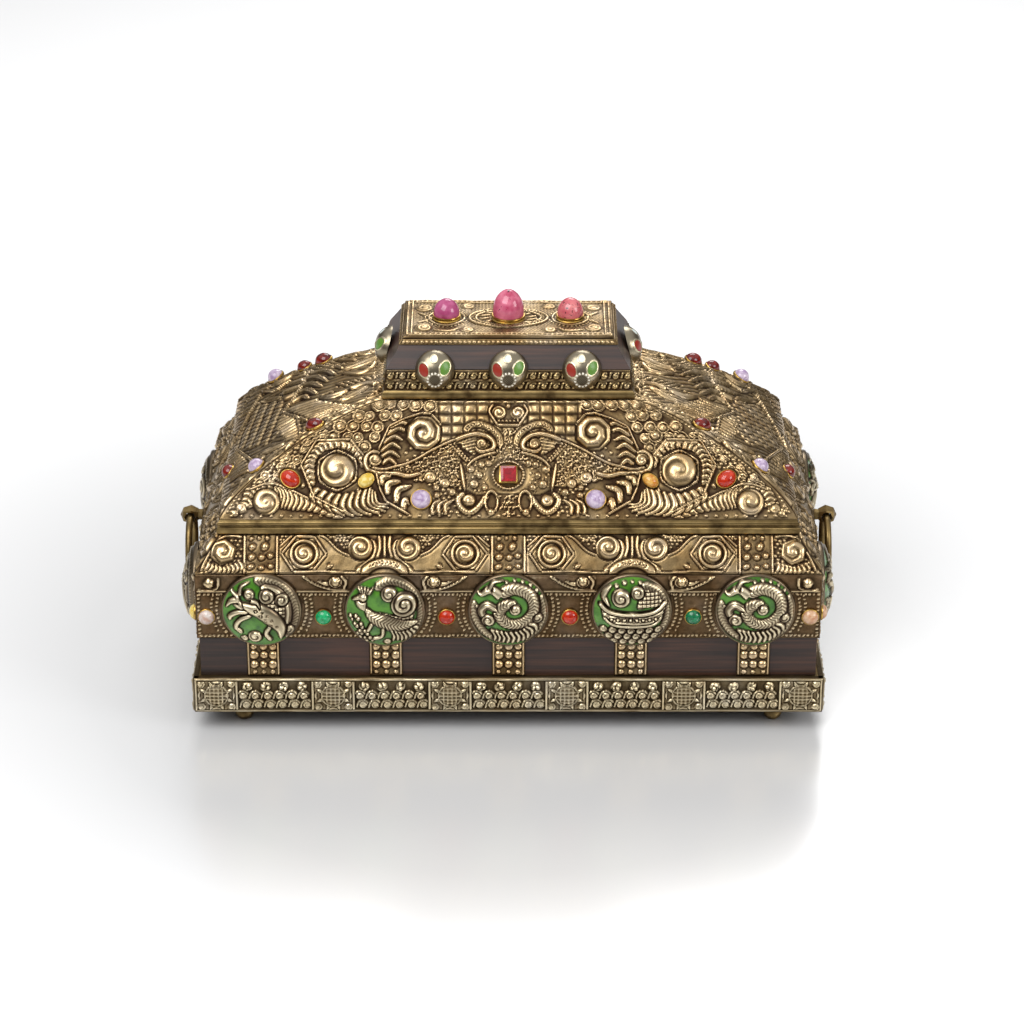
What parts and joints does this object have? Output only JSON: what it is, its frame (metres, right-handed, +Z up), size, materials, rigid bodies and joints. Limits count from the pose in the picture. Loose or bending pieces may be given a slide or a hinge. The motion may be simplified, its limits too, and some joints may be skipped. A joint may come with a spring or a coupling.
{
  "type": "reliquary casket",
  "caption": "Hollow casket on small feet, embossed gilt metal over dark wood, with a hipped lift-off lid, a bevelled block on it, enamel medallions, cabochons and drop-ring handles.",
  "frame": {"origin": "on the table, under the middle of the casket", "axes": "+Z up, +X along the length towards the right-hand handle seen from the front, the front with the figured medallions faces -Y"},
  "size_m": [0.4298, 0.232, 0.2613],
  "materials": {
    "wood": "waxed dark palisander",
    "gilt_metal": "embossed, gilt, oxidised in the recesses",
    "dark_gilt_metal": "smooth, dark gilt",
    "green_enamel": "gloss enamel with silver-gilt relief",
    "silver": "polished, oxidised round the insets",
    "rhodonite": "polished stone"
  },
  "bodies": {
    "casket": {"carcase": "wood", "lid_shell": "wood", "block": "wood", "plinth_band": "gilt_metal", "cove_sheet": "gilt_metal", "lid_rail": "gilt_metal", "block_gallery": "gilt_metal", "top_plate": "gilt_metal", "strap_front_1": "gilt_metal", "strap_front_2": "gilt_metal", "strap_front_3": "gilt_metal", "strap_front_4": "gilt_metal", "strap_front_5": "gilt_metal", "strap_right_1": "gilt_metal", "strap_right_2": "gilt_metal", "strap_back_1": "gilt_metal", "strap_back_2": "gilt_metal", "strap_back_3": "gilt_metal", "strap_back_4": "gilt_metal", "strap_back_5": "gilt_metal", "strap_left_1": "gilt_metal", "strap_left_2": "gilt_metal", "roof_sheet_front": "gilt_metal", "roof_sheet_right": "gilt_metal", "roof_sheet_back": "gilt_metal", "roof_sheet_left": "gilt_metal", "handle_knob_left": "gilt_metal", "handle_knob_right": "gilt_metal", "foot_front_left": "gilt_metal", "foot_front_right": "gilt_metal", "foot_back_left": "gilt_metal", "foot_back_right": "gilt_metal", "wall_band": "dark_gilt_metal", "medallion_front_1": "green_enamel", "medallion_front_2": "green_enamel", "medallion_front_3": "green_enamel", "medallion_front_4": "green_enamel", "medallion_front_5": "green_enamel", "medallion_right_1": "green_enamel", "medallion_right_2": "green_enamel", "medallion_back_1": "green_enamel", "medallion_back_2": "green_enamel", "medallion_back_3": "green_enamel", "medallion_back_4": "green_enamel", "medallion_back_5": "green_enamel", "medallion_left_1": "green_enamel", "medallion_left_2": "green_enamel", "dome_front_1": "silver", "dome_front_2": "silver", "dome_front_3": "silver", "dome_back_1": "silver", "dome_back_2": "silver", "dome_back_3": "silver", "dome_left": "silver", "dome_right": "silver", "top_stone_left": "rhodonite", "top_stone_centre": "rhodonite", "top_stone_right": "rhodonite"},
    "left_ring": {"handle_ring_left": "gilt_metal"},
    "right_ring": {"handle_ring_right": "gilt_metal"}
  },
  "joints": [
    {"name": "left_ring_swing", "type": "hinge", "parent": "casket", "child": "left_ring", "pos_m": [-0.2083, 0, 0.10098], "axis": [0, 1, 0], "range_deg": [-6, 95]},
    {"name": "right_ring_swing", "type": "hinge", "parent": "casket", "child": "right_ring", "pos_m": [0.2083, 0, 0.10098], "axis": [0, -1, 0], "range_deg": [-6, 95]}
  ]
}
